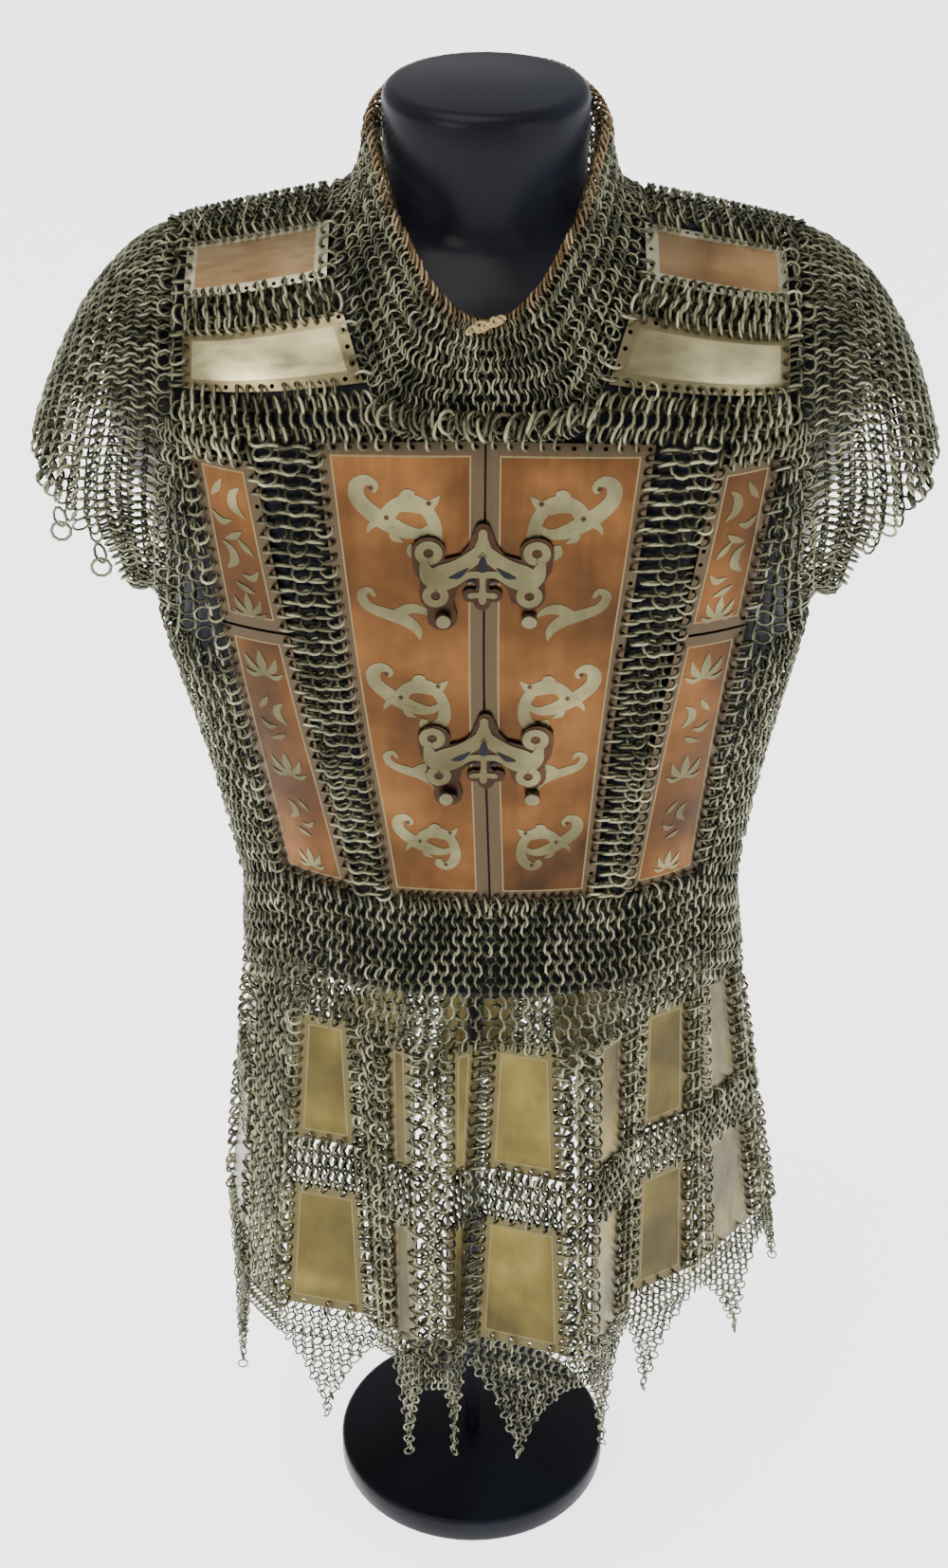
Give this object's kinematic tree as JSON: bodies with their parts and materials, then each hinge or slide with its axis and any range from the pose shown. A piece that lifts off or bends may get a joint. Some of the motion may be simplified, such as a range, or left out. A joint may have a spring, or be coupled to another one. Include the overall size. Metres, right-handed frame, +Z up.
{
  "type": "plate and mail armour shirt on a limbless dress form",
  "caption": "Short-sleeved shirt of mail rings and metal plates with a dagged skirt, hooked in front, on a black limbless dress form with a pole and a round base.",
  "frame": {"origin": "centre of the underside of the stand's round base", "axes": "+Z up along the pole, the front opening faces -Y, +X to the right as seen from the front"},
  "size_m": [0.5008, 0.3034, 1],
  "materials": {
    "black_stand": "black satin paint",
    "aged_mail": "aged olive-grey mail rings, worn bright on their outer side",
    "bronzed_mail": "browned bronze mail rings",
    "copper_plate": "copper with silver inlay and dark edges, satin, worn",
    "nickel_plate": "pale nickel brass, scratched satin",
    "pale_plate": "pale brass, nearly polished",
    "olive_brass_plate": "olive-gold brass, scratched",
    "clasp_brass": "copper and silvered brass"
  },
  "bodies": {
    "root": {"back_mail": "aged_mail", "back_plate_left": "copper_plate", "back_plate_right": "copper_plate", "base_disc": "black_stand", "breast_plate_left": "copper_plate", "breast_plate_right": "copper_plate", "clasp_lower": "clasp_brass", "clasp_upper": "clasp_brass", "collar_mail": "bronzed_mail", "dress_form": "black_stand", "front_mail_left": "aged_mail", "front_mail_right": "aged_mail", "pole": "black_stand", "shoulder_lower_plate_left": "nickel_plate", "shoulder_lower_plate_right": "nickel_plate", "shoulder_upper_plate_left": "nickel_plate", "shoulder_upper_plate_right": "nickel_plate", "side_front_lower_plate_left": "copper_plate", "side_front_lower_plate_right": "copper_plate", "side_front_upper_plate_left": "copper_plate", "side_front_upper_plate_right": "copper_plate", "side_plate_left": "pale_plate", "side_plate_right": "pale_plate", "skirt_lower_plate_01": "olive_brass_plate", "skirt_lower_plate_02": "olive_brass_plate", "skirt_lower_plate_03": "olive_brass_plate", "skirt_lower_plate_04": "olive_brass_plate", "skirt_lower_plate_05": "olive_brass_plate", "skirt_lower_plate_06": "olive_brass_plate", "skirt_lower_plate_07": "olive_brass_plate", "skirt_lower_plate_08": "olive_brass_plate", "skirt_lower_plate_09": "olive_brass_plate", "skirt_lower_plate_10": "olive_brass_plate", "skirt_lower_plate_11": "olive_brass_plate", "skirt_lower_plate_12": "olive_brass_plate", "skirt_lower_plate_13": "olive_brass_plate", "skirt_lower_plate_14": "olive_brass_plate", "skirt_mail": "aged_mail", "skirt_upper_plate_01": "olive_brass_plate", "skirt_upper_plate_02": "olive_brass_plate", "skirt_upper_plate_03": "olive_brass_plate", "skirt_upper_plate_04": "olive_brass_plate", "skirt_upper_plate_05": "olive_brass_plate", "skirt_upper_plate_06": "olive_brass_plate", "skirt_upper_plate_07": "olive_brass_plate", "skirt_upper_plate_08": "olive_brass_plate", "skirt_upper_plate_09": "olive_brass_plate", "skirt_upper_plate_10": "olive_brass_plate", "skirt_upper_plate_11": "olive_brass_plate", "skirt_upper_plate_12": "olive_brass_plate", "skirt_upper_plate_13": "olive_brass_plate", "skirt_upper_plate_14": "olive_brass_plate", "sleeve_mail_left": "aged_mail", "sleeve_mail_right": "aged_mail", "stud_lower": "clasp_brass", "stud_upper": "clasp_brass", "waist_mail": "aged_mail", "yoke_mail_left": "aged_mail", "yoke_mail_right": "aged_mail"}
  },
  "joints": []
}
